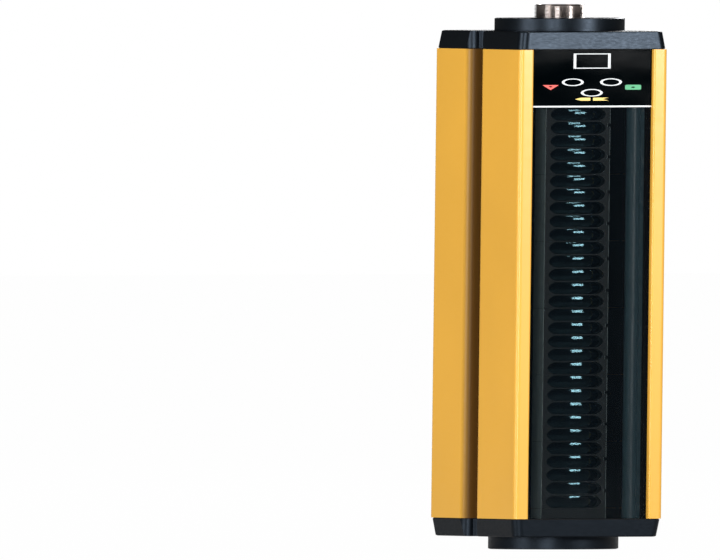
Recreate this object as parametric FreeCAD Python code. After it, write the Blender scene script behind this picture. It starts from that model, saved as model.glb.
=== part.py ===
import FreeCAD, Part
import math
import os

# Safety light curtain, emitter unit.  Millimetres, +Z up, standing on its bottom boss.
# X runs across the optical window, Y from the window (front, -Y) to the back.
# X = 0, Y = 0 is the middle of the extruded housing's section.

V = FreeCAD.Vector
joint_overlap = 0.01          # how far faces that are joined or cut as one reach into each other
same_place = 0.01             # how near counts as there, when edges are picked by their place

# ---- housing profile -----------------------------------------------------------------------
section_width = 38.0          # across the window
section_depth = 49.0          # window side to back
profile_length = 351.4
corner_radius = 1.1
rear_wall = 2.0               # side and back walls round the electronics
lip_width = 3.6               # front lips that frame the window
lip_thickness = 1.4
lip_edge_radius = 0.5
side_wall = 3.8               # thicker walls beside the optics

# ---- window --------------------------------------------------------------------------------
pane_thickness = 2.0
pane_slot_side = 1.8          # wall left outside the slot that holds the pane
seal_side_leg = 0.4
seal_back_leg = 0.9
seal_inner_reach = 1.8        # how far the seal's back leg reaches over the pane

# ---- side slot for sliding nuts, on the -X side ---------------------------------------------
slot_from_front = 26.5        # its middle, from the window side
slot_mouth = 10.8             # at the surface, over the rounded lips
slot_lip_radius = 2.5
slot_lip_thickness = 3.4
slot_chamber_width = 9.8
slot_chamber_depth = 4.3
slot_wall = 1.6
notch_depth = 4.1             # the same mouth, shallower, in the end caps

# ---- optics --------------------------------------------------------------------------------
lens_count = 30
lenses_per_module = 5
module_bottom_gap = 7.6       # from the last module to the profile's bottom end
module_face_depth = 8.8       # from the front plane to the face of the optic modules
module_width = 16.5
module_seam = 0.2
flange_depth = 15.3           # from the front plane to the front of the module flange
flange_thickness = 1.6
flange_overlap = 1.2          # how far the flange enters the slot in each side wall
slide_clearance = 0.15
tunnel_body_width = 15.2
tunnel_body_length = 8.0
aperture_radius = 7.05
aperture_bridge = 1.0         # left between neighbouring apertures
aperture_recess = 2.1
lens_rim = 1.9
lens_clearance = 0.05
lens_dome_radius = 22.0
tunnel_front_width = 11.4
tunnel_bridge = 2.2           # left between neighbouring tunnels at their fronts
tunnel_rear_side = 4.4
clip_notch = (1.0, 1.4, 2.4)  # X, Y, Z size of the latch notches in a module's edge
clip_notch_inset = 13.0       # from each end of a module

# ---- boards --------------------------------------------------------------------------------
board_thickness = 1.6
optics_board_width = 17.2
led_side = 3.0
led_height = 1.2
control_board_y = 13.4        # front face of the control board
control_rib_reach = 1.6
control_rib_thickness = 1.2
control_board_clearance = 0.2
control_board_top_gap = 26.0  # below the profile's top end
control_board_length = 290.0
link_width = 12.0
link_height = 5.0
link_drop = 20.0              # below the top of the optics board
processor_side = 12.0
processor_height = 1.4
processor_drop = 40.0         # below the top of the control board, as for the next pieces
driver_width = 7.0
driver_length = 10.0
driver_height = 2.0
driver_offset = 5.0
driver_drop = 75.0
capacitor_radius = 3.0
capacitor_height = 5.4
capacitor_offset = 6.0
capacitor_drop = 110.0
inductor_side = 10.0
inductor_height = 4.0
inductor_drop = 140.0

# ---- indicator field -------------------------------------------------------------------------
film_height = 42.0
film_thickness = 0.2
print_thickness = 0.1
print_line = 0.65
separator_height = 1.2
display_width = 9.5
display_height = 11.3
display_top = 2.9             # below the profile's top end
ring_diameter = 5.6
ring_rise = 17.6              # rows of symbols, above the film's lower edge
symbol_rise = 13.7
lower_ring_rise = 9.7
arrow_rise = 4.9
ring_offset = 4.9
symbol_offset = 10.6          # red and green symbols, from the middle
symbol_width = 4.1
symbol_height = 3.7
symbol_dot_radius = 0.5
arrow_length = 8.6
arrow_height = 2.2
arrow_head = 1.5
arrow_gap = 0.7

# ---- indicator carrier -----------------------------------------------------------------------
carrier_width = 24.6
carrier_front_depth = 6.0
carrier_top_gap = 6.0
carrier_overhang = 0.6        # below the film
carrier_module_gap = 1.2
carrier_roof = 1.0            # left above the display's pocket
indicator_board_inset = 1.0
indicator_board_thickness = 1.2
carrier_pocket_clearance = 0.25
light_guide_radius = 1.9
status_led_side = 2.4
status_led_height = 1.4
display_block_front = 6.4     # depth of the display's face below the front plane

# ---- end caps --------------------------------------------------------------------------------
cap_height = 13.0
cap_draft_inset = 0.6
cap_corner_radius = 2.2
cap_edge_radius = 0.9
boss_radius = 15.3
boss_height = 9.6
boss_edge_chamfer = 0.5
boss_x = 2.15
boss_y = 0.5
gasket_thickness = 0.6
gasket_inset = 0.4
spigot_depth = 4.0
spigot_wall = 1.5
bottom_core_radius = 12.0
cap_roof = 3.2

# ---- cap screws (M2.5) -----------------------------------------------------------------------
screw_side_inset = 4.0        # from the housing's sides
screw_front_inset = 9.1
screw_rear_inset = 4.8
port_radius = 1.1             # thread-forming bore in the profile
port_wall = 1.0
screw_shank_radius = 1.05
screw_hole_radius = 1.4
screw_head_radius = 2.2
screw_head_height = 1.6
screw_socket_side = 2.0
screw_socket_depth = 0.9
counterbore_radius = 2.45
counterbore_depth = 2.4
screw_engagement = 6.0

# ---- M12 connector ---------------------------------------------------------------------------
thread_radius = 6.0
connector_exposed = 10.0
shell_bore_radius = 4.9
collar_radius = 7.4
collar_height = 3.0
connector_bore_radius = 8.0
connector_hole_clearance = 0.1
neck_undercut = 0.2           # plain neck below the thread, in the cap's roof
shell_edge_chamfer = 0.6
insert_recess = 6.6           # pins stand in this space
insert_length = 10.0
insert_clearance = 0.05
key_width = 1.6
key_depth = 0.9
pin_radius = 0.5
pin_circle_radius = 2.75
pin_length = 5.4
pin_tail = 3.0
seal_ring_thickness = 0.8
ring_nut_height = 3.4
ring_nut_bore_radius = 5.6
ring_nut_slot = 1.6

# ---- derived places --------------------------------------------------------------------------
half_width = section_width / 2
half_depth = section_depth / 2
front_y = -half_depth
slot_y = front_y + slot_from_front
profile_bottom = boss_height + cap_height + gasket_thickness
profile_top = profile_bottom + profile_length
top_cap_base = profile_top + gasket_thickness
top_cap_top = top_cap_base + cap_height
boss_top = top_cap_top + boss_height
opening_half = half_width - lip_width
optic_wall_x = half_width - side_wall
pane_front = front_y + lip_thickness
pane_back = pane_front + pane_thickness
pane_slot_half = half_width - pane_slot_side
pane_half = pane_slot_half - seal_side_leg
pane_slot_back = pane_back + seal_back_leg
flange_front = front_y + flange_depth
flange_back = flange_front + flange_thickness
flange_half = optic_wall_x + flange_overlap
module_front = front_y + module_face_depth
tunnel_back = flange_back + tunnel_body_length
ring_row = film_height - ring_rise
symbol_row = film_height - symbol_rise
lower_ring_row = film_height - lower_ring_rise
arrow_row = film_height - arrow_rise
carrier_bottom = film_height + carrier_overhang
module_top_gap = carrier_bottom + carrier_module_gap
lens_pitch = (profile_length - module_top_gap - module_bottom_gap) / lens_count
aperture_height = lens_pitch - aperture_bridge
tunnel_front_height = lens_pitch - tunnel_bridge
module_height = lenses_per_module * lens_pitch
module_count = lens_count // lenses_per_module
first_lens_z = profile_top - module_top_gap - lens_pitch / 2
lens_back = module_front + aperture_recess + lens_rim
slot_neck_half = slot_mouth / 2 - slot_lip_radius
chamber_outer_x = -half_width + slot_lip_thickness
chamber_inner_x = chamber_outer_x + slot_chamber_depth
shelf_back = flange_back + slide_clearance + control_rib_thickness

os.makedirs("parts", exist_ok=True)


def save(shape, name):
    shape.exportStep("parts/" + name + ".step")


def box(x0, x1, y0, y1, z0, z1):
    return Part.makeBox(x1 - x0, y1 - y0, z1 - z0, V(x0, y0, z0))


def rect_face(x0, x1, y0, y1):
    corners = [V(x0, y0, 0), V(x1, y0, 0), V(x1, y1, 0), V(x0, y1, 0), V(x0, y0, 0)]
    return Part.Face(Part.makePolygon(corners))


def disc_face(x, y, radius):
    return Part.Face(Part.Wire(Part.Circle(V(x, y, 0), V(0, 0, 1), radius).toShape()))


def extrude(face, z0, z1):
    lifted = face.copy()
    lifted.translate(V(0, 0, z0))
    return lifted.extrude(V(0, 0, z1 - z0))


def tapered_block(y0, y1, first_size, second_size):
    """Block along Y on the Z = 0 plane, between two centred rectangles of (x, z) size."""
    x0, z0 = (size / 2 for size in first_size)
    x1, z1 = (size / 2 for size in second_size)
    return Part.makeWedge(-x0, y0, -z0, -z1, -x1, x0, y1, z0, z1, x1)


def quarter_arc(centre, radius, start_angle, end_angle):
    """Arc about the centre, angles in degrees, as an edge."""
    points = []
    for angle in (start_angle, (start_angle + end_angle) / 2, end_angle):
        turn = math.radians(angle)
        points.append(centre + V(radius * math.cos(turn), radius * math.sin(turn), 0))
    return Part.Arc(*points).toShape()


def outline(inset, radius):
    """Outer outline of the housing with the mouth of its side slot, drawn in by inset."""
    x = half_width - inset
    y = half_depth - inset
    lip = slot_lip_radius - inset
    lip_x = -half_width + slot_lip_radius
    lip_low = slot_y - slot_mouth / 2
    lip_high = slot_y + slot_mouth / 2
    floor = V(-half_width + notch_depth + inset, slot_y, 0)
    neck_low = V(lip_x, slot_y - slot_neck_half - inset, 0)
    neck_high = V(lip_x, slot_y + slot_neck_half + inset, 0)

    def line(x0, y0, x1, y1):
        return Part.LineSegment(V(x0, y0, 0), V(x1, y1, 0)).toShape()

    edges = [
        line(-x + radius, -y, x - radius, -y),
        quarter_arc(V(x - radius, -y + radius, 0), radius, -90, 0),
        line(x, -y + radius, x, y - radius),
        quarter_arc(V(x - radius, y - radius, 0), radius, 0, 90),
        line(x - radius, y, -x + radius, y),
        quarter_arc(V(-x + radius, y - radius, 0), radius, 90, 180),
        line(-x, y - radius, -x, lip_high),
        quarter_arc(V(lip_x, lip_high, 0), lip, 180, 270),
        Part.Arc(neck_high, floor, neck_low).toShape(),
        quarter_arc(V(lip_x, lip_low, 0), lip, 90, 180),
        line(-x, lip_low, -x, -y + radius),
        quarter_arc(V(-x + radius, -y + radius, 0), radius, 180, 270),
    ]
    return Part.Wire(edges)


def screw_places():
    x = half_width - screw_side_inset
    front = front_y + screw_front_inset
    rear = half_depth - screw_rear_inset
    return (-x, front), (-x, rear), (x, front), (x, rear)


# ---- housing profile -----------------------------------------------------------------------
def profile_section():
    slide = slide_clearance
    rear_x = half_width - rear_wall
    rear_y = half_depth - rear_wall
    cavity = [
        rect_face(-opening_half, opening_half, front_y - 1, pane_front + joint_overlap),
        rect_face(-pane_slot_half, pane_slot_half, pane_front, pane_slot_back),
        rect_face(-optic_wall_x, optic_wall_x,
                  pane_slot_back - joint_overlap, shelf_back + joint_overlap),
        rect_face(-flange_half - slide, flange_half + slide, flange_front - slide, flange_back + slide),
        rect_face(-rear_x, rear_x, shelf_back, rear_y),
    ]
    hollow = cavity[0].multiFuse(cavity[1:])

    chamber_low = slot_y - slot_chamber_width / 2
    chamber_high = slot_y + slot_chamber_width / 2
    rib_low = control_board_y - control_board_clearance - control_rib_thickness
    rib_high = control_board_y + board_thickness + control_board_clearance
    keep = [rect_face(-rear_x - 1, chamber_inner_x + slot_wall,
                      chamber_low - slot_wall, chamber_high + slot_wall),
            rect_face(-rear_x - 1, -optic_wall_x, shelf_back - joint_overlap, chamber_low)]
    for side in (-1, 1):
        for low in (rib_low, rib_high):
            ends = sorted((side * (rear_x + 1), side * (rear_x - control_rib_reach)))
            keep.append(rect_face(ends[0], ends[1], low, low + control_rib_thickness))
    for x, y in screw_places():
        keep.append(disc_face(x, y, port_radius + port_wall))
        if y > 0:
            ends = sorted((x, math.copysign(rear_x + 1, x)))
            keep.append(rect_face(ends[0], ends[1], y - port_radius - port_wall, rear_y + 1))
    hollow = hollow.cut(keep)

    chamber = rect_face(chamber_outer_x, chamber_inner_x, chamber_low, chamber_high)
    neck = rect_face(-half_width + slot_lip_radius, chamber_outer_x + joint_overlap,
                     slot_y - slot_neck_half, slot_y + slot_neck_half)
    ports = [disc_face(x, y, port_radius) for x, y in screw_places()]
    section = Part.Face(outline(0, corner_radius)).cut([hollow, chamber, neck] + ports)
    return section.removeSplitter()


def lip_inner_edges(shape):
    found = []
    for edge in shape.Edges:
        middle = edge.BoundBox.Center
        beside = abs(abs(middle.x) - opening_half) < same_place
        on_edge = beside and abs(middle.y - front_y) < same_place
        if on_edge and edge.BoundBox.ZLength > profile_length / 2:
            found.append(edge)
    return found


def make_profile():
    profile = extrude(profile_section(), profile_bottom, profile_top)
    return profile.makeFillet(lip_edge_radius, lip_inner_edges(profile))


# ---- window --------------------------------------------------------------------------------
def make_pane():
    return box(-pane_half, pane_half, pane_front, pane_back, profile_bottom, profile_top)


def make_window_seal(side):
    outer = side * pane_slot_half
    edge = side * pane_half
    inner = side * (pane_half - seal_inner_reach)
    leg = rect_face(*sorted((edge, outer)), pane_front, pane_slot_back)
    foot = rect_face(*sorted((inner, outer)), pane_back, pane_slot_back)
    return extrude(leg.fuse(foot).removeSplitter(), profile_bottom, profile_top)


# ---- optics --------------------------------------------------------------------------------
def truncated_disc(z, radius, height, y0, y1):
    disc = Part.makeCylinder(radius, y1 - y0, V(0, y0, z), V(0, 1, 0))
    band = box(-radius - 1, radius + 1, y0 - 1, y1 + 1, z - height / 2, z + height / 2)
    return disc.common(band)


def light_tunnel(z):
    tunnel = tapered_block(lens_back, tunnel_back, (tunnel_front_width, tunnel_front_height),
                           (tunnel_rear_side, tunnel_rear_side))
    tunnel.translate(V(0, 0, z))
    return tunnel


def lens_heights(module):
    top = first_lens_z - module * module_height
    return [top - index * lens_pitch for index in range(lenses_per_module)]


def make_optic_module(module):
    heights = lens_heights(module)
    high = heights[0] + lens_pitch / 2 - module_seam / 2
    low = heights[-1] - lens_pitch / 2 + module_seam / 2
    nose = box(-module_width / 2, module_width / 2, module_front, flange_front, low, high)
    flange = box(-flange_half, flange_half, flange_front, flange_back, low, high)
    tail = box(-tunnel_body_width / 2, tunnel_body_width / 2, flange_back, tunnel_back, low, high)
    body = nose.multiFuse([flange, tail]).removeSplitter()
    cuts = []
    for z in heights:
        cuts.append(truncated_disc(z, aperture_radius, aperture_height, module_front - 1, lens_back))
        cuts.append(light_tunnel(z))
    notch_x, notch_y, notch_z = clip_notch
    for z in (low + clip_notch_inset, high - clip_notch_inset):
        cuts.append(box(module_width / 2 - notch_x, module_width / 2 + 1, module_front - 1,
                        module_front + notch_y, z - notch_z / 2, z + notch_z / 2))
    return body.cut(cuts)


def make_lens(z):
    blank = truncated_disc(z, aperture_radius - lens_clearance, aperture_height - 2 * lens_clearance,
                           module_front, lens_back)
    rim_radius = aperture_radius - lens_clearance
    rise = lens_dome_radius - math.sqrt(lens_dome_radius ** 2 - rim_radius ** 2)
    apex = module_front + aperture_recess - rise
    ball = Part.makeSphere(lens_dome_radius, V(0, apex + lens_dome_radius, z))
    return blank.common(ball)


def make_lenses():
    first = make_lens(first_lens_z)
    lenses = []
    for index in range(lens_count):
        lens = first.copy()
        lens.translate(V(0, 0, -index * lens_pitch))
        lenses.append(lens)
    return Part.makeCompound(lenses)


def optics_span():
    low = lens_heights(module_count - 1)[-1] - lens_pitch / 2
    high = first_lens_z + lens_pitch / 2
    return low, high


def make_optics_board():
    low, high = optics_span()
    half = optics_board_width / 2
    return box(-half, half, tunnel_back, tunnel_back + board_thickness, low, high)


def make_emitter_leds():
    half = led_side / 2
    leds = []
    for module in range(module_count):
        for z in lens_heights(module):
            leds.append(box(-half, half, tunnel_back - led_height, tunnel_back, z - half, z + half))
    return Part.makeCompound(leds)


# ---- control electronics -------------------------------------------------------------------
control_high = profile_top - control_board_top_gap
control_low = control_high - control_board_length


def make_control_board():
    half = half_width - rear_wall - control_board_clearance
    return box(-half, half, control_board_y, control_board_y + board_thickness, control_low, control_high)


def make_control_components():
    """Processor, output drivers, inductor and capacitors on the rear of the control board."""
    y = control_board_y + board_thickness

    def chip(x, drop, width, length, height):
        z = control_high - drop
        return box(x - width / 2, x + width / 2, y, y + height, z - length / 2, z + length / 2)

    pieces = [chip(0, processor_drop, processor_side, processor_side, processor_height),
              chip(-driver_offset, driver_drop, driver_width, driver_length, driver_height),
              chip(driver_offset, driver_drop, driver_width, driver_length, driver_height),
              chip(0, inductor_drop, inductor_side, inductor_side, inductor_height)]
    for x in (-capacitor_offset, capacitor_offset):
        pieces.append(Part.makeCylinder(capacitor_radius, capacitor_height,
                                        V(x, y, control_high - capacitor_drop), V(0, 1, 0)))
    return Part.makeCompound(pieces)


def make_board_link():
    low, high = optics_span()
    z = high - link_drop
    return box(-link_width / 2, link_width / 2, tunnel_back + board_thickness, control_board_y,
               z - link_height, z)


# ---- indicator field -------------------------------------------------------------------------
film_front = pane_front - film_thickness
print_front = film_front - print_thickness


def below_top(distance):
    return profile_top - distance


def plate(outline_points, y0, y1):
    """Flat plate facing -Y from (x, z) corner points."""
    points = [V(x, y0, z) for x, z in outline_points]
    return Part.Face(Part.makePolygon(points + points[:1])).extrude(V(0, y1 - y0, 0))


def make_film():
    return box(-opening_half, opening_half, film_front, pane_front, below_top(film_height), profile_top)


def make_print_white():
    x = display_width / 2
    high = below_top(display_top)
    low = high - display_height
    frame = box(-x, x, print_front, film_front, low, high).cut(
        box(-x + print_line, x - print_line, print_front - 1, film_front + 1,
            low + print_line, high - print_line))
    shapes = [frame]
    rings = ((-ring_offset, ring_row), (ring_offset, ring_row), (0, lower_ring_row))
    for ring_x, row in rings:
        centre = V(ring_x, print_front, below_top(row))
        outer = Part.makeCylinder(ring_diameter / 2, print_thickness, centre, V(0, 1, 0))
        inner = Part.makeCylinder(ring_diameter / 2 - print_line, print_thickness, centre, V(0, 1, 0))
        shapes.append(outer.cut(inner))
    shapes.append(box(-opening_half, opening_half, pane_front - film_thickness, pane_front,
                      below_top(film_height + separator_height), below_top(film_height)))
    return Part.makeCompound(shapes)


def dot(x, row):
    centre = V(x, print_front - 1, below_top(row))
    return Part.makeCylinder(symbol_dot_radius, print_thickness + 2, centre, V(0, 1, 0))


def make_print_red():
    high = below_top(symbol_row - symbol_height / 2)
    low = high - symbol_height
    half = symbol_width / 2
    points = [(-symbol_offset - half, high), (-symbol_offset + half, high), (-symbol_offset, low)]
    triangle = plate(points, print_front, film_front)
    return triangle.cut(dot(-symbol_offset, symbol_row - symbol_height / 6))


def make_print_green():
    high = below_top(symbol_row - symbol_height / 2)
    low = high - symbol_height
    half = symbol_width / 2
    block = box(symbol_offset - half, symbol_offset + half, print_front, film_front, low, high)
    upright = [edge for edge in block.Edges if edge.BoundBox.YLength > print_thickness / 2]
    return block.makeFillet(symbol_height / 6, upright).cut(dot(symbol_offset, symbol_row))


def make_print_yellow():
    row = below_top(arrow_row)
    tip = -arrow_length / 2
    tail = arrow_length / 2
    half = arrow_height / 2
    head = [(tip, row), (tip + arrow_head, row + half), (-arrow_gap / 2, row + half),
            (-arrow_gap / 2, row - half), (tip + arrow_head, row - half)]
    feather = [(arrow_gap / 2, row + half), (tail, row + half), (tail - arrow_head, row),
               (tail, row - half), (arrow_gap / 2, row - half)]
    return Part.makeCompound([plate(points, print_front, film_front) for points in (head, feather)])


carrier_high = profile_top - carrier_top_gap
carrier_low = profile_top - carrier_bottom


def display_pocket(clearance, y0, y1):
    x = display_width / 2 + clearance
    high = min(below_top(display_top) + clearance, carrier_high - carrier_roof)
    return box(-x, x, y0, y1, below_top(display_top) - display_height - clearance, high)


def ring_places():
    return ((-ring_offset, below_top(ring_row)), (ring_offset, below_top(ring_row)),
            (0, below_top(lower_ring_row)))


def make_indicator_carrier():
    front = front_y + carrier_front_depth
    nose = box(-carrier_width / 2, carrier_width / 2, front, flange_front, carrier_low, carrier_high)
    flange = box(-flange_half, flange_half, flange_front, flange_back, carrier_low, carrier_high)
    body = nose.fuse(flange).removeSplitter()
    cuts = [display_pocket(carrier_pocket_clearance, front - 1, flange_back + 1)]
    for x, z in ring_places():
        cuts.append(Part.makeCylinder(light_guide_radius + lens_clearance, flange_depth,
                                      V(x, front - 1, z), V(0, 1, 0)))
    return body.cut(cuts)


def make_display():
    return display_pocket(-carrier_pocket_clearance / 2, front_y + display_block_front, flange_back)


def make_light_guides():
    front = front_y + carrier_front_depth
    length = flange_back - status_led_height - front
    guides = []
    for x, z in ring_places():
        guides.append(Part.makeCylinder(light_guide_radius, length, V(x, front, z), V(0, 1, 0)))
    return Part.makeCompound(guides)


def make_status_leds():
    half = status_led_side / 2
    leds = []
    for x, z in ring_places():
        leds.append(box(x - half, x + half, flange_back - status_led_height, flange_back,
                        z - half, z + half))
    return Part.makeCompound(leds)


def make_indicator_board():
    half = carrier_width / 2 - indicator_board_inset
    return box(-half, half, flange_back, flange_back + indicator_board_thickness,
               carrier_low + indicator_board_inset, carrier_high)


# ---- end caps --------------------------------------------------------------------------------
def notch_block():
    """What the side slot's mouth takes out of a cap, drawn as the corner between box and outline."""
    strip = rect_face(-half_width - 1, 0, slot_y - slot_mouth / 2, slot_y + slot_mouth / 2)
    return extrude(strip.cut(Part.Face(outline(0, corner_radius))), -1, cap_height + 1)


def cap_body():
    """Drafted cap standing on Z = 0 at the housing end, with its boss on top."""
    drawn_in = 2 * cap_draft_inset
    body = tapered_block(0, cap_height, (section_width, section_depth),
                         (section_width - drawn_in, section_depth - drawn_in))
    body.rotate(V(0, 0, 0), V(1, 0, 0), 90)
    corners = [edge for edge in body.Edges if edge.BoundBox.ZLength > cap_height / 2]
    body = body.makeFillet(cap_corner_radius, corners)
    rim = [edge for edge in body.Edges if edge.BoundBox.ZMin > cap_height - same_place]
    body = body.makeFillet(cap_edge_radius, rim)

    boss = Part.makeCylinder(boss_radius, boss_height + 1, V(boss_x, boss_y, cap_height - 1))
    top = [edge for edge in boss.Edges if edge.BoundBox.ZMin > cap_height + boss_height - same_place]
    body = body.fuse(boss.makeChamfer(boss_edge_chamfer, top)).removeSplitter()
    body = body.cut(notch_block())
    cuts = []
    for x, y in screw_places():
        cuts.append(Part.makeCylinder(screw_hole_radius, cap_height + 2, V(x, y, -1)))
        cuts.append(Part.makeCylinder(counterbore_radius, counterbore_depth + 1,
                                      V(x, y, cap_height - counterbore_depth)))
    return body.cut(cuts)


def spigot(bore_radius):
    outer = bore_radius + spigot_wall
    height = gasket_thickness + spigot_depth
    ring = Part.makeCylinder(outer, height, V(boss_x, boss_y, -height))
    return ring.cut(Part.makeCylinder(bore_radius, height, V(boss_x, boss_y, -height)))


def make_top_cap():
    bore_top = cap_height + boss_height - cap_roof
    body = cap_body().fuse(spigot(connector_bore_radius)).removeSplitter()
    bore = Part.makeCylinder(connector_bore_radius, bore_top + 10, V(boss_x, boss_y, -10))
    hole = Part.makeCylinder(thread_radius + connector_hole_clearance, cap_height + boss_height + 1,
                             V(boss_x, boss_y, 0))
    body = body.cut([bore, hole])
    body.translate(V(0, 0, top_cap_base))
    return body


def make_bottom_cap():
    core_depth = cap_height + boss_height - cap_roof
    body = cap_body()
    body = body.cut(Part.makeCylinder(bottom_core_radius, core_depth, V(boss_x, boss_y, 0)))
    body = body.mirror(V(0, 0, 0), V(0, 0, 1))
    body.translate(V(0, 0, boss_height + cap_height))
    return body


def make_gaskets():
    sheet = Part.Face(outline(gasket_inset, corner_radius))
    holes = [disc_face(x, y, screw_hole_radius) for x, y in screw_places()]
    gaskets = []
    for z0, bore_radius in ((profile_top, connector_bore_radius + spigot_wall),
                            (profile_bottom - gasket_thickness, bottom_core_radius)):
        face = sheet.cut(holes + [disc_face(boss_x, boss_y, bore_radius)])
        gaskets.append(extrude(face, z0, z0 + gasket_thickness))
    return Part.makeCompound(gaskets)


def make_screw():
    """Screw along -Z whose head seat is at Z = 0."""
    length = cap_height - counterbore_depth + gasket_thickness + screw_engagement
    shank = Part.makeCylinder(screw_shank_radius, length, V(0, 0, -length))
    head = Part.makeCylinder(screw_head_radius, screw_head_height)
    corners = []
    across_corners = screw_socket_side / math.sqrt(3)
    for step in range(7):
        turn = math.radians(60 * step)
        corners.append(V(across_corners * math.cos(turn), across_corners * math.sin(turn),
                         screw_head_height - screw_socket_depth))
    socket = Part.Face(Part.makePolygon(corners)).extrude(V(0, 0, screw_socket_depth + 1))
    return shank.fuse(head).removeSplitter().cut(socket)


def make_cap_screws():
    screws = []
    for x, y in screw_places():
        upper = make_screw()
        lower = upper.mirror(V(0, 0, 0), V(0, 0, 1))
        upper.translate(V(x, y, top_cap_top - counterbore_depth))
        lower.translate(V(x, y, boss_height + counterbore_depth))
        screws += [upper, lower]
    return Part.makeCompound(screws)


# ---- M12 connector ---------------------------------------------------------------------------
connector_top = boss_top + connector_exposed
roof_under = boss_top - cap_roof
collar_top = roof_under - seal_ring_thickness
collar_bottom = collar_top - collar_height
insert_face = connector_top - insert_recess


def round_bar(radius, z0, z1):
    return Part.makeCylinder(radius, z1 - z0, V(boss_x, boss_y, z0))


def make_connector_shell():
    barrel = round_bar(thread_radius, boss_top, connector_top)
    rim = [edge for edge in barrel.Edges if edge.BoundBox.ZMin > connector_top - same_place]
    barrel = barrel.makeChamfer(shell_edge_chamfer, rim)
    neck = round_bar(thread_radius - neck_undercut, collar_top, boss_top)
    collar = round_bar(collar_radius, collar_bottom, collar_top)
    shell = barrel.multiFuse([neck, collar]).removeSplitter()
    return shell.cut(round_bar(shell_bore_radius, collar_bottom - 1, connector_top + 1))


def pin_axes():
    yield boss_x, boss_y
    for step in range(4):
        turn = math.radians(45 + 90 * step)
        yield (boss_x + pin_circle_radius * math.cos(turn), boss_y + pin_circle_radius * math.sin(turn))


def make_connector_insert():
    body = round_bar(shell_bore_radius - insert_clearance, insert_face - insert_length, insert_face)
    key_y = boss_y - shell_bore_radius
    key = box(boss_x - key_width / 2, boss_x + key_width / 2, key_y - 1, key_y + key_depth,
              insert_face - insert_recess, insert_face + 1)
    holes = []
    for x, y in pin_axes():
        holes.append(Part.makeCylinder(pin_radius, insert_length + 2,
                                       V(x, y, insert_face - insert_length - 1)))
    return body.cut([key] + holes)


def make_connector_pins():
    pins = []
    low = insert_face - insert_length - pin_tail
    for x, y in pin_axes():
        pin = Part.makeCylinder(pin_radius, insert_face + pin_length - low, V(x, y, low))
        tip = [edge for edge in pin.Edges if edge.BoundBox.ZMin > insert_face + pin_length - same_place]
        pins.append(pin.makeChamfer(pin_radius / 2, tip))
    return Part.makeCompound(pins)


def make_connector_seal():
    ring = round_bar(collar_radius, collar_top, roof_under)
    return ring.cut(round_bar(thread_radius - neck_undercut, collar_top, roof_under))


def make_ring_nut():
    low = collar_bottom - ring_nut_height
    ring = round_bar(connector_bore_radius, low, collar_bottom)
    ring = ring.cut(round_bar(ring_nut_bore_radius, low - 1, collar_bottom + 1))
    reach = connector_bore_radius + 1
    slot = box(boss_x - reach, boss_x + reach, boss_y - ring_nut_slot / 2, boss_y + ring_nut_slot / 2,
               low - 1, low + ring_nut_slot)
    return ring.cut(slot)


# ---- write the parts -------------------------------------------------------------------------
save(make_profile(), "housing_profile")
save(make_pane(), "front_window")
save(make_window_seal(-1), "window_seal_left")
save(make_window_seal(1), "window_seal_right")
for number in range(module_count):
    save(make_optic_module(number), "optic_module_" + str(number + 1))
save(make_lenses(), "lenses")
save(make_optics_board(), "optics_board")
save(make_emitter_leds(), "emitter_leds")
save(make_control_board(), "control_board")
save(make_control_components(), "control_components")
save(make_board_link(), "board_link")
save(make_film(), "indicator_film")
save(make_print_white(), "indicator_print_white")
save(make_print_red(), "indicator_print_red")
save(make_print_green(), "indicator_print_green")
save(make_print_yellow(), "indicator_print_yellow")
save(make_indicator_carrier(), "indicator_carrier")
save(make_display(), "display_block")
save(make_light_guides(), "light_guides")
save(make_status_leds(), "status_leds")
save(make_indicator_board(), "indicator_board")
save(make_top_cap(), "top_end_cap")
save(make_bottom_cap(), "bottom_end_cap")
save(make_gaskets(), "cap_gaskets")
save(make_cap_screws(), "cap_screws")
save(make_connector_shell(), "connector_shell")
save(make_connector_insert(), "connector_insert")
save(make_connector_pins(), "connector_pins")
save(make_connector_seal(), "connector_seal")
save(make_ring_nut(), "connector_ring_nut")
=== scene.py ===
import math

import bpy
from mathutils import Matrix, Vector


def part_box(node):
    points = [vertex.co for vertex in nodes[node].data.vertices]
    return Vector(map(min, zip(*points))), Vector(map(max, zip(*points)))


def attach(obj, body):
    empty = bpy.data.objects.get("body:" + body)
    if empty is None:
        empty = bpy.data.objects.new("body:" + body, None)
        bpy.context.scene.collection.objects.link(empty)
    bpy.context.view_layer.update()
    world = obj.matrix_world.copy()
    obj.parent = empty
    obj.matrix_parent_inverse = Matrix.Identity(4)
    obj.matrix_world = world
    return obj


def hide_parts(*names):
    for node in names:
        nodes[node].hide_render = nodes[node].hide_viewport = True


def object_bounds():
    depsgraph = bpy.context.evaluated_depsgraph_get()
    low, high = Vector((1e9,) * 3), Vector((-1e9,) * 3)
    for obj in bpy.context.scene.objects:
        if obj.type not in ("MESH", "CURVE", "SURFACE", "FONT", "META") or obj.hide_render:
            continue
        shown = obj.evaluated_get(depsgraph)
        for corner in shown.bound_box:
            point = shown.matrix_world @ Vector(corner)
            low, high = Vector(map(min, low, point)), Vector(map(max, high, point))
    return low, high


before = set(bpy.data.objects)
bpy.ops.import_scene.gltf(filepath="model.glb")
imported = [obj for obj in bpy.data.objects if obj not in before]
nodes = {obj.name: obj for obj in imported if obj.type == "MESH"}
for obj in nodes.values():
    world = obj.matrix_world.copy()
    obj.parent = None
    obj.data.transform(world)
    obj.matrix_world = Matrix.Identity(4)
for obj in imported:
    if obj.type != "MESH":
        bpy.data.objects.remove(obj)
cad_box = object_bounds()

# Safety light curtain, emitter unit.  Metres, +Z up.  The window faces -Y.
MM = 0.001
scene = bpy.context.scene
low, high = cad_box

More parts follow.
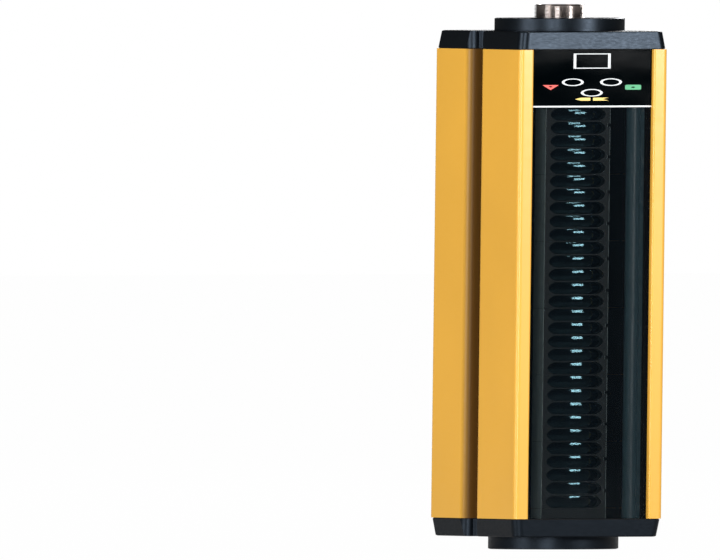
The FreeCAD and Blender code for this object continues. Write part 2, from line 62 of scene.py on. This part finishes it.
# ---- colours, as they look on the object (0..255) ---------------------------------------------
YELLOW = (240, 180, 66)
# painted shade for the nut slot's lips and floor
SLOT_SHADE = (92, 62, 24)
# blue-grey inner wall colour, lightened to stand for the light falling on it (painted light)
CHAMBER_BLUE_GREY_AND_LIGHT = (80, 110, 120)
CAP_PLASTIC = (8, 12, 16)
CAP_SHEEN = (205, 228, 255)
WINDOW_TINT = (10, 17, 22)
FILM = (1, 4, 6)
RUBBER = (22, 22, 23)
MODULE = (36, 46, 49)
# painted light on the optic module flanks
MODULE_FLANK_PAINTED_LIGHT = (200, 222, 222)
# painted shade on the optic module flange
MODULE_FLOOR_PAINTED_SHADE = (8, 11, 13)
LENS = (8, 17, 25)
LENS_GLINT = (165, 225, 240)
PRINT_WHITE = (232, 236, 238)
PRINT_RED = (250, 105, 95)
PRINT_GREEN = (90, 180, 130)
PRINT_YELLOW = (255, 225, 130)
BOARD_GREEN = (28, 84, 58)
COPPER = (88, 128, 84)
COMPONENT = (28, 28, 30)
LED_BODY = (222, 224, 216)
CLEAR = (196, 200, 202)
FOAM = (20, 20, 21)
NICKEL = (205, 196, 192)
INSERT = (24, 24, 25)
GOLD = (226, 190, 110)
ZINC = (186, 188, 190)
FLOOR = (150, 150, 150)


def linear(colour):
    """Linear RGBA of a 0..255 display colour."""
    channels = []
    for value in colour:
        part = value / 255
        channels.append(part / 12.92 if part <= 0.04045 else ((part + 0.055) / 1.055) ** 2.4)
    return (*channels, 1.0)


def math_node(tree, operation, first, *others):
    """Output of a Math node on up to three values; the first is a socket, the others sockets or numbers."""
    node = tree.nodes.new("ShaderNodeMath")
    node.operation = operation
    tree.links.new(first, node.inputs[0])
    for index, value in enumerate(others, 1):
        if isinstance(value, (int, float)):
            node.inputs[index].default_value = value
        else:
            tree.links.new(value, node.inputs[index])
    return node.outputs[0]


def add_mesh(name, points, faces, material):
    """A new mesh object of one material."""
    mesh = bpy.data.meshes.new(name)
    mesh.from_pydata(points, [], faces)
    mesh.materials.append(material)
    added = bpy.data.objects.new(name, mesh)
    scene.collection.objects.link(added)
    return added


# ---- materials ---------------------------------------------------------------------------------
class Surface:
    """A Principled material with its colour, gloss and relief driven by object-space noise."""

    def __init__(self, name, roughness, metallic=0.0, specular=0.5):
        self.material = bpy.data.materials.new(name)
        self.material.use_nodes = True
        self.tree = self.material.node_tree
        self.shader = self.tree.nodes["Principled BSDF"]
        self.place = self.add("ShaderNodeTexCoord").outputs["Object"]
        self.roughness = roughness
        self.put("Roughness", roughness)
        self.put("Metallic", metallic)
        self.put("Specular IOR Level", specular)

    def add(self, kind):
        return self.tree.nodes.new(kind)

    def link(self, source, target):
        self.tree.links.new(source, target)

    def put(self, socket, value):
        self.shader.inputs[socket].default_value = value

    def noise(self, grain, detail=2.0, stretch=(1, 1, 1)):
        """Noise whose features are about `grain` metres across."""
        mapping = self.add("ShaderNodeMapping")
        mapping.inputs["Scale"].default_value = stretch
        self.link(self.place, mapping.inputs["Vector"])
        texture = self.add("ShaderNodeTexNoise")
        texture.inputs["Scale"].default_value = 1 / grain
        texture.inputs["Detail"].default_value = detail
        self.link(mapping.outputs["Vector"], texture.inputs["Vector"])
        return texture.outputs["Fac"]

    def spread(self, value, low_out, high_out, low_in=0.3, high_in=0.7):
        """Maps a noise value to a range."""
        remap = self.add("ShaderNodeMapRange")
        remap.inputs["From Min"].default_value = low_in
        remap.inputs["From Max"].default_value = high_in
        remap.inputs["To Min"].default_value = low_out
        remap.inputs["To Max"].default_value = high_out
        self.link(value, remap.inputs["Value"])
        return remap.outputs["Result"]

    def blend(self, factor, first, second):
        """Mixes two colours, each a display colour or a socket."""
        mix = self.add("ShaderNodeMix")
        mix.data_type = "RGBA"
        self.link(factor, mix.inputs["Factor"])
        for socket, colour in ((mix.inputs[6], first), (mix.inputs[7], second)):
            if isinstance(colour, tuple):
                socket.default_value = linear(colour)
            else:
                self.link(colour, socket)
        return mix.outputs[2]

    def colour(self, source):
        self.link(source, self.shader.inputs["Base Color"])

    def mottle(self, first, second, grain):
        """Slow drift between two colours."""
        self.colour(self.blend(self.spread(self.noise(grain), 0, 1), first, second))

    def uneven_gloss(self, grain, amount, stretch=(1, 1, 1)):
        marks = self.noise(grain, 3.0, stretch)
        value = self.spread(marks, self.roughness - amount, self.roughness + amount)
        self.link(value, self.shader.inputs["Roughness"])

    def relief(self, grain, depth, detail=2.0, strength=1.0, stretch=(1, 1, 1)):
        bump = self.add("ShaderNodeBump")
        bump.inputs["Strength"].default_value = strength
        bump.inputs["Distance"].default_value = depth
        self.link(self.noise(grain, detail, stretch), bump.inputs["Height"])
        self.link(bump.outputs["Normal"], self.shader.inputs["Normal"])

    def combine(self, operation, *values):
        return math_node(self.tree, operation, *values)

    def from_plane(self, axis, middle):
        """Distance from a plane across one axis of object space."""
        split = self.add("ShaderNodeSeparateXYZ")
        self.link(self.place, split.inputs["Vector"])
        return self.combine("ABSOLUTE", self.combine("SUBTRACT", split.outputs[axis], middle))

    def inside(self, lowest, highest):
        """1 within a box of object space, 0 outside it."""
        split = self.add("ShaderNodeSeparateXYZ")
        self.link(self.place, split.inputs["Vector"])
        result = None
        for axis in range(3):
            for operation, limit in (("GREATER_THAN", lowest[axis]), ("LESS_THAN", highest[axis])):
                test = self.combine(operation, split.outputs[axis], limit)
                result = test if result is None else self.combine("MULTIPLY", result, test)
        return result


def darker(colour, share):
    return tuple(value * share for value in colour)


# The nut slot along the -X side gets painted shade over its rounded lips and its floor, and its gloss and
# coat are cut there.
SLOT_MIDDLE = 2.0 * MM        # along Y
SLOT_HALF = 5.4 * MM
SLOT_FADE = 2.3 * MM
SLOT_FLOOR = -11.0 * MM       # along X
COAT_SPECULAR = 0.45
SLOT_SPECULAR = 0.05
COAT_WEIGHT = 0.22

# The chamber between window and modules, whose blue-grey walls are lightened with painted light, and the
# bay behind the modules, painted black as painted shade
CHAMBER_HALF = 15.35 * MM
CHAMBER_FRONT = -21.15 * MM
CHAMBER_BACK = -7.0 * MM
BAY_LEFT = -9.65 * MM
BAY_RIGHT = 16.95 * MM
BAY_BACK = 22.45 * MM

# Optic modules: painted shade from the flange's front back, and painted light on the nose's flanks
MODULE_FLOOR_FRONT = -9.6 * MM
MODULE_FLANK_X = 8.2 * MM


def powder_coat():
    """Yellow powder coat with a fine orange peel, painted shade in the nut slot, a blue-grey chamber
    lightened with painted light, and a bay painted black as painted shade.
    """
    surface = Surface("yellow_powder_coat", 0.36)
    drift = surface.spread(surface.noise(30 * MM, 2.0, (1, 1, 0.25)), 0, 1)
    paint = surface.blend(drift, YELLOW, darker(YELLOW, 0.97))
    beside_slot = surface.from_plane(1, SLOT_MIDDLE)
    in_slot = surface.spread(beside_slot, 1, 0, SLOT_HALF - SLOT_FADE, SLOT_HALF)
    slot_side = surface.inside((low.x - MM, low.y, low.z), (SLOT_FLOOR, high.y, high.z))
    # painted shade: full in the middle of the slot, fading out at its edges, on the -X side only
    shade = surface.combine("MULTIPLY", in_slot, slot_side)
    # the slot's painted shade darkens the coat, and its gloss and coat are cut with it
    paint = surface.blend(shade, paint, SLOT_SHADE)
    specular = surface.spread(shade, COAT_SPECULAR, SLOT_SPECULAR, 0, 1)
    surface.link(specular, surface.shader.inputs["Specular IOR Level"])
    surface.link(surface.spread(shade, COAT_WEIGHT, 0.0, 0, 1), surface.shader.inputs["Coat Weight"])
    chamber = surface.inside((-CHAMBER_HALF, CHAMBER_FRONT, low.z), (CHAMBER_HALF, CHAMBER_BACK, high.z))
    bay_painted_shade = surface.inside((BAY_LEFT, CHAMBER_BACK, low.z), (BAY_RIGHT, BAY_BACK, high.z))
    # chamber walls: blue-grey inner finish, lightened as painted light
    paint = surface.blend(chamber, paint, CHAMBER_BLUE_GREY_AND_LIGHT)
    # the bay behind the modules is painted black as painted shade
    surface.colour(surface.blend(bay_painted_shade, paint, FILM))
    surface.uneven_gloss(6 * MM, 0.04)
    surface.put("Coat Roughness", 0.12)
    surface.relief(0.55 * MM, 0.012 * MM, 3.0)
    return surface.material


def cap_plastic():
    """Glass-filled black plastic with a fine spark-eroded texture."""
    surface = Surface("cap_plastic", 0.34, specular=0.3)
    surface.put("Specular Tint", linear(CAP_SHEEN))
    surface.mottle(CAP_PLASTIC, darker(CAP_PLASTIC, 0.8), 9 * MM)
    surface.uneven_gloss(1.2 * MM, 0.05)
    surface.relief(0.28 * MM, 0.01 * MM, 4.0)
    return surface.material


def window_pane():
    """Smoked acrylic: mostly clear when faced, with a hard gloss."""
    surface = Surface("window_pane", 0.05, specular=0.12)
    surface.mottle(WINDOW_TINT, darker(WINDOW_TINT, 0.8), 40 * MM)
    surface.put("Alpha", 0.34)
    surface.relief(25 * MM, 0.01 * MM, 1.0)
    return surface.material


def lens_acrylic():
    """Dark collimating lens with a bluish coating that tints its glints."""
    surface = Surface("lens_acrylic", 0.06, specular=0.9)
    surface.mottle(LENS, darker(LENS, 0.7), 3 * MM)
    surface.put("Specular Tint", linear(LENS_GLINT))
    surface.relief(4 * MM, 0.01 * MM, 1.0)
    return surface.material


def module_plastic():
    """Grey optic module with painted light on its flanks, and painted shade, near black, where its flange
    makes the chamber's floor.
    """
    surface = Surface("module_plastic", 0.55, specular=0.3)
    # the flange region that gets painted shade
    floor = surface.inside((low.x, MODULE_FLOOR_FRONT, low.z), (high.x, high.y, high.z))
    drift = surface.spread(surface.noise(5 * MM), 0, 1)
    face = surface.blend(drift, MODULE, darker(MODULE, 0.9))
    # both flanks of the nose get painted light
    painted_light_flank = surface.combine("GREATER_THAN", surface.from_plane(0, 0.0), MODULE_FLANK_X)
    face = surface.blend(painted_light_flank, face, MODULE_FLANK_PAINTED_LIGHT)
    surface.colour(surface.blend(floor, face, MODULE_FLOOR_PAINTED_SHADE))
    surface.relief(0.3 * MM, 0.01 * MM, 3.0)
    return surface.material


def moulded(name, colour, roughness, grain, depth, specular=0.4):
    """Moulded or pressed part; grain and depth are the width and height of its texture."""
    surface = Surface(name, roughness, specular=specular)
    surface.mottle(colour, darker(colour, 0.85), 8 * MM)
    surface.uneven_gloss(grain * 4, 0.04)
    surface.relief(grain, depth, 3.0)
    return surface.material


def printed(name, colour):
    """Screen print, slightly uneven in density."""
    surface = Surface(name, 0.45, specular=0.3)
    surface.mottle(colour, darker(colour, 0.95), 1.5 * MM)
    surface.relief(0.15 * MM, 0.004 * MM)
    return surface.material


def metal(name, colour, roughness, grain, depth, stretch):
    """Plated metal; stretch below 1 draws its marks out along that axis."""
    surface = Surface(name, roughness, metallic=1.0)
    surface.mottle(colour, darker(colour, 0.9), 4 * MM)
    surface.uneven_gloss(grain * 3, roughness * 0.35, stretch)
    surface.relief(grain, depth, 2.0, stretch=stretch)
    return surface.material


def circuit_board():
    """Green solder mask over faint copper tracks."""
    surface = Surface("circuit_board", 0.4)
    bricks = surface.add("ShaderNodeTexBrick")
    turn = surface.add("ShaderNodeMapping")
    turn.inputs["Rotation"].default_value = (math.radians(90), 0, 0)
    surface.link(surface.place, turn.inputs["Vector"])
    surface.link(turn.outputs["Vector"], bricks.inputs["Vector"])
    bricks.inputs["Scale"].default_value = 1 / (4 * MM)
    bricks.inputs["Mortar Size"].default_value = 0.03
    bricks.inputs["Color1"].default_value = linear(BOARD_GREEN)
    bricks.inputs["Color2"].default_value = linear(darker(BOARD_GREEN, 0.9))
    bricks.inputs["Mortar"].default_value = linear(COPPER)
    surface.colour(bricks.outputs["Color"])
    surface.uneven_gloss(3 * MM, 0.08)
    surface.relief(0.8 * MM, 0.02 * MM)
    return surface.material


def clear_plastic():
    surface = Surface("clear_plastic", 0.08, specular=0.5)
    surface.mottle(CLEAR, darker(CLEAR, 0.95), 3 * MM)
    surface.put("Transmission Weight", 0.8)
    surface.relief(2 * MM, 0.01 * MM)
    return surface.material


paint = powder_coat()
plastic = cap_plastic()
rubber = moulded("seal_rubber", RUBBER, 0.7, 0.4 * MM, 0.02 * MM, 0.3)
module = module_plastic()
board = circuit_board()
finishes = {
    "housing_profile": paint,
    "front_window": window_pane(),
    "window_seal_left": rubber,
    "window_seal_right": rubber,
    "lenses": lens_acrylic(),
    "optics_board": board,
    "emitter_leds": moulded("led_package", LED_BODY, 0.3, 0.3 * MM, 0.005 * MM),
    "control_board": board,
    "control_components": moulded("component_black", COMPONENT, 0.5, 0.2 * MM, 0.01 * MM),
    "board_link": moulded("link_black", INSERT, 0.5, 0.3 * MM, 0.01 * MM),
    "indicator_film": moulded("black_film", FILM, 0.06, 6 * MM, 0.001 * MM, 0.05),
    "indicator_print_white": printed("white_print", PRINT_WHITE),
    "indicator_print_red": printed("red_print", PRINT_RED),
    "indicator_print_green": printed("green_print", PRINT_GREEN),
    "indicator_print_yellow": printed("yellow_print", PRINT_YELLOW),
    "indicator_carrier": moulded("carrier_black", INSERT, 0.5, 0.3 * MM, 0.01 * MM),
    "display_block": moulded("display_face", LED_BODY, 0.3, 0.3 * MM, 0.005 * MM),
    "light_guides": clear_plastic(),
    "status_leds": moulded("status_led", LED_BODY, 0.3, 0.3 * MM, 0.005 * MM),
    "indicator_board": board,
    "top_end_cap": plastic,
    "bottom_end_cap": plastic,
    "cap_gaskets": moulded("foam_gasket", FOAM, 0.85, 0.5 * MM, 0.06 * MM, 0.2),
    "cap_screws": metal("zinc_screw", ZINC, 0.3, 0.3 * MM, 0.004 * MM, (1, 1, 1)),
    "connector_insert": moulded("insert_black", INSERT, 0.45, 0.25 * MM, 0.01 * MM),
    "connector_pins": metal("gold_contact", GOLD, 0.22, 0.2 * MM, 0.002 * MM, (1, 1, 0.1)),
    "connector_seal": rubber,
    "connector_ring_nut": metal("nickel_nut", NICKEL, 0.25, 0.3 * MM, 0.003 * MM, (1, 1, 0.2)),
    "connector_shell": metal("nickel_shell", NICKEL, 0.2, 0.3 * MM, 0.003 * MM, (1, 1, 0.2)),
}
for name, node in nodes.items():
    chosen = module if name.startswith("optic_module") else finishes[name]
    node.data.materials.clear()
    node.data.materials.append(chosen)


# ---- threaded connector shell --------------------------------------------------------------------
THREAD_PITCH = 1.0 * MM
THREAD_CREST = 6.0 * MM
THREAD_DEPTH = 0.58 * MM
NECK_RADIUS = 5.8 * MM
COLLAR_RADIUS = 7.4 * MM
COLLAR_HEIGHT = 3.0 * MM
BORE_RADIUS = 4.9 * MM
RIM_CHAMFER = 0.25 * MM
LEAD_IN = 0.9 * MM
RIDGE_SLOPE = 2.5             # over 2, the crests are flats
LEAD_SHARE = 0.75             # of the thread's depth, cut off the crests at the upper end
NECK_GAP = 0.1 * MM           # from the neck up to the first row of the thread
THREAD_ROWS = 120
TURN_STEPS = 96
SHARP_ANGLE = math.radians(40)


def thread_radius(height, turn, start, end):
    """Radius of a V thread with flat crests, which fades towards its upper end."""
    phase = ((height - start) / THREAD_PITCH - turn / math.tau) % 1.0
    ridge = min(1.0, max(0.0, RIDGE_SLOPE / 2 - RIDGE_SLOPE * abs(phase - 0.5)))
    depth = THREAD_DEPTH * (1 - ridge)
    lead = max(0.0, LEAD_IN - (end - height)) / LEAD_IN
    return min(THREAD_CREST - depth, THREAD_CREST - LEAD_SHARE * THREAD_DEPTH * lead)


def make_threaded_shell():
    shell_low, shell_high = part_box("connector_shell")
    axis = (shell_low + shell_high) / 2
    boss_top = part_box("top_end_cap")[1].z
    collar_top = shell_low.z + COLLAR_HEIGHT
    top = shell_high.z
    fixed_before = [(BORE_RADIUS, shell_low.z), (COLLAR_RADIUS, shell_low.z), (COLLAR_RADIUS, collar_top),
                    (NECK_RADIUS, collar_top), (NECK_RADIUS, boss_top - NECK_GAP)]
    fixed_after = [(BORE_RADIUS + RIM_CHAMFER, top), (BORE_RADIUS, top - RIM_CHAMFER)]
    rows = []
    steps = range(TURN_STEPS)
    for radius, height in fixed_before:
        rows.append([(radius, height)] * TURN_STEPS)
    for row in range(THREAD_ROWS + 1):
        height = boss_top + (top - boss_top) * row / THREAD_ROWS
        rows.append([(thread_radius(height, math.tau * step / TURN_STEPS, boss_top, top), height)
                     for step in steps])
    for radius, height in fixed_after:
        rows.append([(radius, height)] * TURN_STEPS)
    points = []
    for row in rows:
        for step, (radius, height) in enumerate(row):
            turn = math.tau * step / TURN_STEPS
            points.append((axis.x + radius * math.cos(turn), axis.y + radius * math.sin(turn), height))
    faces = []
    for row in range(len(rows)):
        above = (row + 1) % len(rows)
        for step in steps:
            beside = (step + 1) % TURN_STEPS
            faces.append((row * TURN_STEPS + step, row * TURN_STEPS + beside,
                          above * TURN_STEPS + beside, above * TURN_STEPS + step))
    shell = add_mesh("threaded_shell", points, faces, finishes["connector_shell"])
    shell.data.shade_smooth()
    shell.data.set_sharp_from_angle(angle=SHARP_ANGLE)
    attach(shell, "root")
    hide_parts("connector_shell")


make_threaded_shell()


# ---- end stop under the last optic module ---------------------------------------------------------
STOP_SEAM = 0.2 * MM
STOP_NOSE_HALF = 8.25 * MM
STOP_FLANGE_FRONT = -9.2 * MM
STOP_FLANGE_BACK = -7.6 * MM


def make_end_stop():
    """Fills the module slot down to the bottom gasket, in line with the module above it."""
    module_low, module_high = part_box("optic_module_6")
    floor_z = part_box("housing_profile")[0].z
    top = module_low.z - STOP_SEAM
    half = [(STOP_NOSE_HALF, module_low.y), (STOP_NOSE_HALF, STOP_FLANGE_FRONT),
            (module_high.x, STOP_FLANGE_FRONT), (module_high.x, STOP_FLANGE_BACK)]
    section = [(-x, y) for x, y in reversed(half)] + half
    count = len(section)
    points = [(x, y, z) for z in (floor_z, top) for x, y in section]
    faces = [tuple(range(count))[::-1], tuple(range(count, 2 * count))]
    for index in range(count):
        beside = (index + 1) % count
        faces.append((index, beside, beside + count, index + count))
    stop = add_mesh("module_end_stop", points, faces, module)
    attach(stop, "root")


make_end_stop()


# ---- floor, world, lights --------------------------------------------------------------------------
FLOOR_HALF = 6.0
FLOOR_GLOW = 0.99             # share of plain white that the camera sees in the floor
AMBIENT = 0.24                # soft light from all round, kept out of the gloss
GLOSS_SHARE = 0.04            # share of the white background that gloss sees; around it gloss sees black


def seen_directly(tree):
    """How much of the white background a ray sees: all of it straight or through glass, less in gloss."""
    path = tree.nodes.new("ShaderNodeLightPath")
    gloss = math_node(tree, "MULTIPLY", path.outputs["Is Glossy Ray"], GLOSS_SHARE)
    direct = math_node(tree, "MAXIMUM", path.outputs["Is Camera Ray"], path.outputs["Is Transmission Ray"])
    return math_node(tree, "MAXIMUM", direct, gloss)


def make_floor():
    material = bpy.data.materials.new("floor")
    material.use_nodes = True
    tree = material.node_tree
    output = tree.nodes["Material Output"]
    tree.nodes.remove(tree.nodes["Principled BSDF"])
    diffuse = tree.nodes.new("ShaderNodeBsdfDiffuse")
    diffuse.inputs["Color"].default_value = linear(FLOOR)
    glow = tree.nodes.new("ShaderNodeEmission")
    share = math_node(tree, "MULTIPLY", seen_directly(tree), FLOOR_GLOW)
    mix = tree.nodes.new("ShaderNodeMixShader")
    tree.links.new(share, mix.inputs[0])
    tree.links.new(diffuse.outputs[0], mix.inputs[1])
    tree.links.new(glow.outputs[0], mix.inputs[2])
    tree.links.new(mix.outputs[0], output.inputs["Surface"])
    signs = ((-1, -1), (1, -1), (1, 1), (-1, 1))
    corners = [(x * FLOOR_HALF, y * FLOOR_HALF, low.z) for x, y in signs]
    add_mesh("floor", corners, [(0, 1, 2, 3)], material)


def make_world():
    world = bpy.data.worlds.new("studio")
    scene.world = world
    world.use_nodes = True
    tree = world.node_tree
    output = tree.nodes["World Output"]
    ambient = tree.nodes["Background"]
    ambient.inputs["Color"].default_value = (1, 1, 1, 1)
    path = tree.nodes.new("ShaderNodeLightPath")
    soft = math_node(tree, "MULTIPLY_ADD", path.outputs["Is Glossy Ray"], -AMBIENT, AMBIENT)
    tree.links.new(soft, ambient.inputs["Strength"])
    backdrop = tree.nodes.new("ShaderNodeBackground")
    backdrop.inputs["Color"].default_value = (1, 1, 1, 1)
    backdrop.inputs["Strength"].default_value = 1.0
    mix = tree.nodes.new("ShaderNodeMixShader")
    tree.links.new(seen_directly(tree), mix.inputs[0])
    tree.links.new(ambient.outputs[0], mix.inputs[1])
    tree.links.new(backdrop.outputs[0], mix.inputs[2])
    tree.links.new(mix.outputs[0], output.inputs["Surface"])


def make_softbox(name, azimuth, elevation, distance, width, height, power):
    """Area light aimed at the middle of the unit. Azimuth 0 is in front of the window, 90 on +X."""
    light = bpy.data.lights.new(name, "AREA")
    light.shape = "RECTANGLE"
    light.size = width
    light.size_y = height
    light.energy = power
    lamp = bpy.data.objects.new(name, light)
    scene.collection.objects.link(lamp)
    turn, rise = math.radians(azimuth), math.radians(elevation)
    middle = (low + high) / 2
    away = Vector((math.sin(turn) * math.cos(rise), -math.cos(turn) * math.cos(rise), math.sin(rise)))
    lamp.location = middle + away * distance
    lamp.rotation_euler = away.to_track_quat("Z", "Y").to_euler()


make_floor()
make_world()
# name, azimuth and elevation in degrees, distance, width and height in metres, power in watts
SOFTBOXES = (
    ("key_high", 22.6, 17, 1.6, 0.45, 0.14, 7),
    ("key_low", 29, 8, 1.6, 0.4, 0.16, 10),
    ("fill_left", -80, 8, 1.7, 0.7, 1.2, 18),
    ("front_left", -35, 4, 1.7, 0.6, 1.0, 19),
    ("back_right", 140, 30, 1.8, 0.8, 0.8, 30),
)
for softbox in SOFTBOXES:
    make_softbox(*softbox)


# ---- camera -----------------------------------------------------------------------------------------
# The picture that this view follows was stretched sideways, so its camera takes a parallel view whose
# sideways axis is skewed.  The object keeps its real proportions, and other views show them.
VIEW_AZIMUTH = math.radians(24)
VIEW_ELEVATION = math.radians(1.8)
VIEW_STRETCH = 3.19
VIEW_LEAN = 0.0039            # sideways drift of uprights, before the stretch
VIEW_SCALE = 1336.0           # picture units per metre, upright
PICTURE_WIDTH = 720.0
VIEW_DISTANCE = 2.6
TARGET_HEIGHT = 0.2021
TARGET_ASIDE = 0.0543         # the unit stands right of the middle


def make_camera():
    sine, cosine = math.sin(VIEW_AZIMUTH), math.cos(VIEW_AZIMUTH)
    rise, level = math.sin(VIEW_ELEVATION), math.cos(VIEW_ELEVATION)
    forward = Vector((sine * level, cosine * level, -rise))
    right = Vector((cosine, -sine, 0))
    up = Vector((sine * rise, cosine * rise, level))
    skew = math.acos(1 / VIEW_STRETCH)
    across = right * math.cos(skew) + forward * math.sin(skew)
    upright = up - right * VIEW_LEAN
    target = Vector((0, low.y, TARGET_HEIGHT)) - right * TARGET_ASIDE
    eye = target - forward * VIEW_DISTANCE
    data = bpy.data.cameras.new("camera")
    data.type = "ORTHO"
    data.ortho_scale = PICTURE_WIDTH / VIEW_SCALE
    data.clip_start = 0.01
    data.clip_end = 50.0
    camera = bpy.data.objects.new("camera", data)
    scene.collection.objects.link(camera)
    rig = bpy.data.objects.new("camera_rig", None)
    scene.collection.objects.link(rig)
    camera.parent = rig
    camera.matrix_parent_inverse = Matrix((
        (across.x, upright.x, -forward.x, eye.x),
        (across.y, upright.y, -forward.y, eye.y),
        (across.z, upright.z, -forward.z, eye.z),
        (0, 0, 0, 1)))
    scene.camera = camera


make_camera()
scene.view_settings.view_transform = "Standard"
